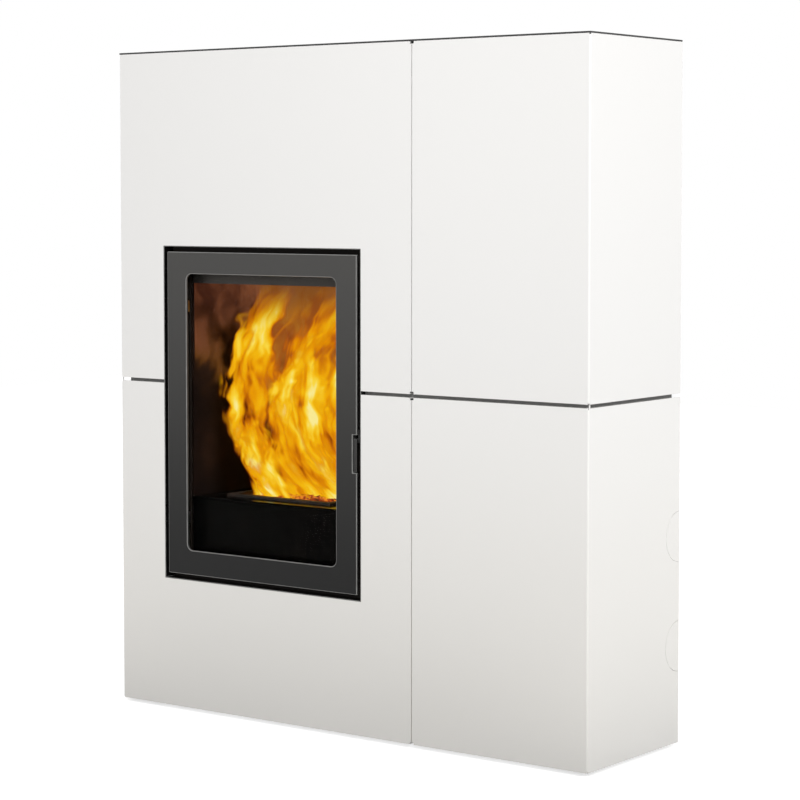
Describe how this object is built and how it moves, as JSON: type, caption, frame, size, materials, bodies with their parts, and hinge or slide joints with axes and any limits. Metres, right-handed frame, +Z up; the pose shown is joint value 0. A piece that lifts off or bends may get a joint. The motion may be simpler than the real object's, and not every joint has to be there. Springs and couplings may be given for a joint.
{
  "type": "pellet stove",
  "caption": "Slim floor-standing pellet stove with folded white panels, a black framed window door at the left and a lidded hopper, auger, blowers and rear pipe spigots at the right.",
  "frame": {"origin": "centre of the casing's outline on the floor plane that the feet stand on", "axes": "+Z up, front with the door facing -Y, +X to the right as seen from the front"},
  "size_m": [1, 0.283, 1.176],
  "materials": {
    "white_panels": "gloss",
    "black_plate": "satin",
    "frame_steel": "satin",
    "feet": "matte",
    "plated_steel": "satin",
    "door_steel": "satin",
    "door_glass": "clear",
    "seals": "matte",
    "firebox_steel": "matte",
    "cast": "matte",
    "lining": "matte",
    "motors": "satin",
    "plastic": "matte"
  },
  "bodies": {
    "stove": {"upper_left_panel": "white_panels", "lower_left_panel": "white_panels", "upper_right_panel": "white_panels", "lower_right_panel": "white_panels", "top_plate": "black_plate", "recess_trim": "black_plate", "airwash_strip": "black_plate", "rear_panel": "black_plate", "duct_recess": "black_plate", "rear_screws": "black_plate", "base_plate": "frame_steel", "post_front_left": "frame_steel", "post_front_right": "frame_steel", "post_rear_left": "frame_steel", "post_rear_right": "frame_steel", "partition": "frame_steel", "mid_rail": "frame_steel", "top_frame": "frame_steel", "firebox_stand": "frame_steel", "exhaust_housing": "frame_steel", "convection_housing": "frame_steel", "lid_hinge_brackets": "plated_steel", "hopper": "plated_steel", "auger_tube": "plated_steel", "pellet_chute": "plated_steel", "door_hinges": "plated_steel", "latch_keeper": "plated_steel", "igniter": "plated_steel", "firebox": "firebox_steel", "hearth_plate": "firebox_steel", "flue_collar": "firebox_steel", "air_inlet": "firebox_steel", "baffle": "cast", "fire_board_back": "lining", "fire_board_left": "lining", "fire_board_right": "lining", "auger_gearmotor": "motors", "exhaust_motor": "motors", "control_box": "plastic", "mains_inlet": "plastic"},
    "door": {"door_plate": "door_steel", "door_inner_frame": "door_steel", "door_glass": "door_glass", "glass_seal": "seals", "door_seal": "seals", "glass_clips": "plated_steel", "latch_pin": "plated_steel"},
    "latch": {"latch_lever": "door_steel"},
    "hopper_lid": {"hopper_lid": "black_plate", "hopper_lid_seal": "seals"},
    "burn_pot": {"burn_pot": "cast"},
    "ash_pan": {"ash_pan": "firebox_steel"},
    "auger": {"auger_screw": "plated_steel"},
    "exhaust_fan": {"exhaust_impeller": "plated_steel"},
    "convection_fan": {"convection_rotor": "plated_steel"},
    "switch": {"rocker_switch": "plastic"},
    "foot_fl": {"foot_front_left": "feet"},
    "foot_fr": {"foot_front_right": "feet"},
    "foot_rl": {"foot_rear_left": "feet"},
    "foot_rr": {"foot_rear_right": "feet"}
  },
  "joints": [
    {"name": "door_hinge", "type": "hinge", "parent": "stove", "child": "door", "pos_m": [-0.378, -0.1295, 0.5335], "axis": [0, 0, -1], "range_deg": [0, 100]},
    {"name": "latch_turn", "type": "hinge", "parent": "door", "child": "latch", "pos_m": [0.0345, -0.132, 0.5075], "axis": [-1, 0, 0], "range_deg": [-8, 20]},
    {"name": "hopper_lid_hinge", "type": "hinge", "parent": "stove", "child": "hopper_lid", "pos_m": [0.292, 0.102, 1.1715], "axis": [-1, 0, 0], "range_deg": [0, 80]},
    {"name": "burn_pot_lift", "type": "slide", "parent": "stove", "child": "burn_pot", "axis": [0, 0, 1], "range_m": [0, 0.1]},
    {"name": "ash_pan_slide", "type": "slide", "parent": "stove", "child": "ash_pan", "axis": [0, -1, 0], "range_m": [0, 0.01]},
    {"name": "auger_turn", "type": "hinge", "parent": "stove", "child": "auger", "pos_m": [0.2, -0.0015, 0.696], "axis": [1, 0, 0], "continuous": true},
    {"name": "exhaust_fan_spin", "type": "hinge", "parent": "stove", "child": "exhaust_fan", "pos_m": [0.25, 0.0385, 0.3535], "axis": [0, 1, 0], "continuous": true},
    {"name": "convection_fan_spin", "type": "hinge", "parent": "stove", "child": "convection_fan", "pos_m": [-0.174, 0.0515, 0.098], "axis": [1, 0, 0], "continuous": true},
    {"name": "switch_rock", "type": "hinge", "parent": "stove", "child": "switch", "pos_m": [0.19, 0.1315, 0.126], "axis": [1, 0, 0], "range_deg": [-8, 8]},
    {"name": "foot_fl_turn", "type": "hinge", "parent": "stove", "child": "foot_fl", "pos_m": [-0.44, -0.0815, 0.006], "axis": [0, 0, 1], "continuous": true},
    {"name": "foot_fr_turn", "type": "hinge", "parent": "stove", "child": "foot_fr", "pos_m": [0.44, -0.0815, 0.006], "axis": [0, 0, 1], "continuous": true},
    {"name": "foot_rl_turn", "type": "hinge", "parent": "stove", "child": "foot_rl", "pos_m": [-0.44, 0.0815, 0.006], "axis": [0, 0, 1], "continuous": true},
    {"name": "foot_rr_turn", "type": "hinge", "parent": "stove", "child": "foot_rr", "pos_m": [0.44, 0.0815, 0.006], "axis": [0, 0, 1], "continuous": true}
  ]
}
